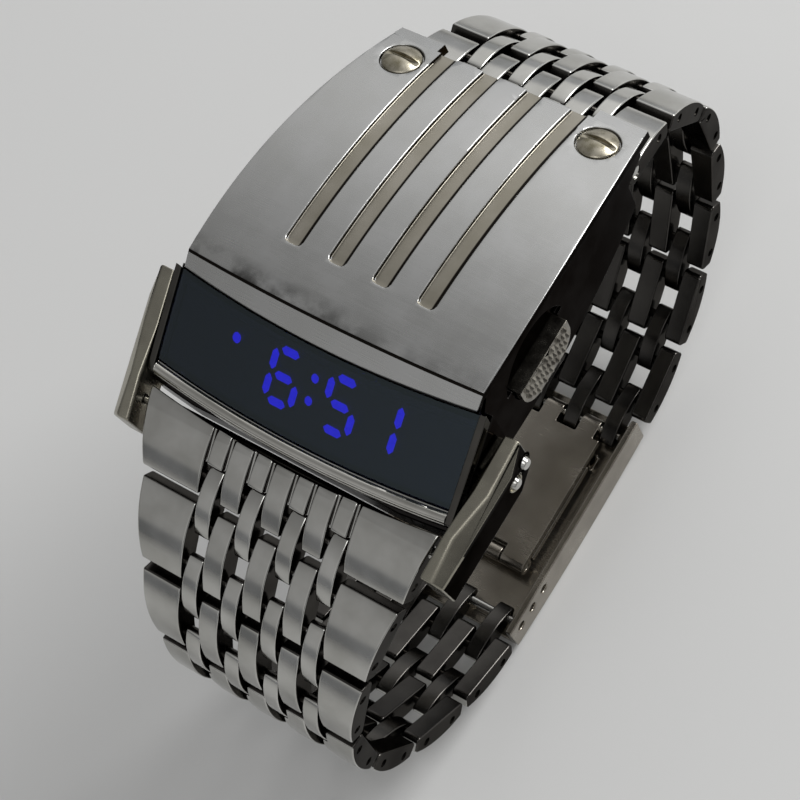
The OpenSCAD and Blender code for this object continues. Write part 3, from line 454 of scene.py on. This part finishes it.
def repaint(piece, material, chosen):
    """A second finish on the faces that chosen(corners in millimetres, normal) picks."""
    piece.data.materials.append(material)
    last = len(piece.data.materials) - 1
    for face in piece.data.polygons:
        corners = [piece.data.vertices[v].co / MM for v in face.vertices]
        if chosen(corners, face.normal):
            face.material_index = last


def paint(node, material):
    """Gives a CAD node that stays as it is its real finish."""
    data = frame["nodes"][node].data
    data.materials.clear()
    data.materials.append(material)


# What a second finish goes on. A normal's share along an axis says which way a face looks:
# 0.5 is 60 degrees off the axis, 0.75 is 41, 0.8 is 37 and 0.9 is 26.

def in_groove(corners):
    return any(all(abs(c.x - x) < GROOVE_HALF + 0.01 and c.y > GROOVE_FRONT for c in corners)
               for x in GROOVE_X)


def groove_floor(corners, normal):
    return normal.z > 0.5 and in_groove(corners)


def groove_wall(corners, normal):
    return abs(normal.x) > 0.75 and in_groove(corners)


def step_wall(corners, normal):
    """The small upright wall where the back edge steps out, beside the outer grooves."""
    return abs(normal.z) < 0.8 and all(abs(abs(c.x) - STEP_X) < 0.6 and c.y > STEP_BACK - 0.1
                                       for c in corners)


def hood_side(corners, normal):
    return abs(normal.x) > 0.8 and all(abs(c.x) > HOOD_SIDE for c in corners)


def side_rail(corners, normal):
    return all(abs(c.x) > RAIL_INNER for c in corners)


def guard_flank(corners, normal):
    """The outer face of a guard."""
    return abs(normal.x) > 0.9 and normal.x * corners[0].x > 0


def faces_away(corners, normal):
    """Sides, ends and undersides of a link, which get painted shade: what doesn't face out from the
    bracelet's loop.
    """
    centre = sum(corners, Vector()) / len(corners)
    outwards = Vector((0, centre.y - LOOP_MIDDLE[0], centre.z - LOOP_MIDDLE[1])).normalized()
    return normal.dot(outwards) < 0.5


# Case and what is on it
hood = dress("hood", hood_steel, PLATE_EDGE, keep=near_step, flatten=0)
repaint(hood, groove_steel, groove_floor)
# Painted shade: groove walls and the step's small wall in a near-black finish
repaint(hood, shade_wall_steel, groove_wall)
repaint(hood, shade_wall_steel, step_wall)
# Painted shade: the hood's sides in a dark finish
repaint(hood, shade_flank_steel, hood_side)
dress("case_body", case_steel, PLATE_EDGE)
repaint(dress("bezel_frame", bezel_steel, SCREW_EDGE, angle=60), rail_steel, side_rail)
# Painted shade: each guard's outer face in a dark finish
for node in ("guard_left", "guard_right"):
    repaint(dress(node, guard_steel, GUARD_EDGE), shade_flank_steel, guard_flank)
dress("push_button", knurled_steel, KNURL_EDGE)
dress("hood_screws", screw_bronze, SCREW_EDGE)
dress("guard_screws", pin_steel, SCREW_EDGE)

# Bracelet and clasp
# Painted shade: faces of links and connectors that don't face out from the loop get a dark finish
for node in frame["nodes"]:
    if node.startswith(("row_", "end_link_")):
        repaint(dress(node, link_steel, LINK_EDGE, keep=near_pivot), shade_side_steel, faces_away)
    elif node.startswith("connectors_"):
        repaint(dress(node, lens_steel, LENS_EDGE, keep=near_pivot), shade_side_steel, faces_away)
dress("clasp_cover", clasp_steel, LENS_EDGE)
dress("clasp_middle_blade", clasp_steel, PLATE_EDGE)
dress("clasp_inner_blade", clasp_steel, PLATE_EDGE)
dress("case_back", back_steel, PLATE_EDGE)

# The button's spring, which shortens as the button goes in
spring = dress("button_spring", pin_steel, WIRE_EDGE, angle=80)
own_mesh(spring)

# Nodes that keep the CAD's mesh
paint("display_window", window_glass())
paint("led_segments", lit_segment())
for node, material in {"window_gasket": seal_rubber, "case_back_gasket": seal_rubber,
                       "led_board": led_black, "circuit_board": board_mask,
                       "module_holder": holder_acetal, "coin_cells": cell_nickel,
                       "battery_clip": strip_bronze}.items():
    paint(node, material)
for node in ("case_back_screws", "button_clip", "spring_bar_6", "spring_bar_12",
             "clasp_fold_pin", "clasp_cover_pin", "clasp_end_pin", "clasp_spring_bar"):
    paint(node, pin_steel)


# Floor and light

FLOOR_SIDE = 16000
FLOOR_GAP = 0.05
# How the studio's light changes along an axis of the way one looks: the axis, where the change
# begins and ends, the light before and after it, and how it runs
SKY = {
    "bright_behind": ("Y", -0.1, 0.9, 0.6, 1.35, "SMOOTHSTEP"),
    "dim_left": ("X", -0.8, -0.1, 0.45, 1, "LINEAR"),
    "dim_right": ("X", 0.2, 0.8, 1, 0.4, "LINEAR"),
    "dim_below": ("Z", 0.18, 0.26, 0.55, 1, "SMOOTHSTEP"),
    "dim_overhead": ("Z", 0.6, 0.95, 1, 0.5, "LINEAR"),
}

bpy.ops.object.select_all(action="DESELECT")
bpy.ops.mesh.primitive_plane_add(size=FLOOR_SIDE * MM,
                                 location=(0, 0, cad_box[0][2] - FLOOR_GAP * MM))
floor = bpy.context.object
floor.name = "floor"
floor_paint, _, floor_shader = blank("pale_floor")
floor_shader.inputs["Base Color"].default_value = colour("#d2d2d1")
floor_shader.inputs["Roughness"].default_value = 0.8
floor.data.materials.append(floor_paint)

world = bpy.data.worlds.new("studio")
scene.world = world
world.use_nodes = True
sky_tree = world.node_tree
sky_tree.nodes.clear()
gaze = add(sky_tree, "ShaderNodeSeparateXYZ",
           {0: add(sky_tree, "ShaderNodeTexCoord").outputs["Generated"]}).outputs
strength = 1
level = {}
for name, (axis, begin, end, before, after, run) in SKY.items():
    level[name] = add(sky_tree, "ShaderNodeMapRange", {
        "Value": gaze[axis], "From Min": begin, "From Max": end, "To Min": before,
        "To Max": after}, interpolation_type=run).outputs["Result"]
    strength = add(sky_tree, "ShaderNodeMath", {0: strength, 1: level[name]},
                   operation="MULTIPLY").outputs["Value"]
# A little colder where it is dim below
tint = add(sky_tree, "ShaderNodeMix", {"Factor": level["dim_below"], 6: colour("#e2e8f2"),
                                       7: colour("#f3f3f3")}, data_type="RGBA")
background = add(sky_tree, "ShaderNodeBackground", {"Color": tint.outputs[2],
                                                    "Strength": strength})
add(sky_tree, "ShaderNodeOutputWorld", {"Surface": background.outputs[0]})


# What the lamps are turned to, in metres
WATCH_MIDDLE = Vector((0, 0, -0.02))


def softbox(name, place, side, power):
    """A square studio lamp at place, turned to the middle of the watch; metres and watts."""
    lamp = bpy.data.lights.new(name, "AREA")
    lamp.shape = "RECTANGLE"
    lamp.size = lamp.size_y = side
    lamp.energy = power
    holder = bpy.data.objects.new(name, lamp)
    scene.collection.objects.link(holder)
    holder.location = place
    holder.rotation_euler = (WATCH_MIDDLE - Vector(place)).to_track_quat("-Z", "Y").to_euler()


softbox("key_box", (0.3, 0.62, 0.45), 0.4, 5)
softbox("top_box", (0.14, -0.15, 0.6), 0.3, 0.6)
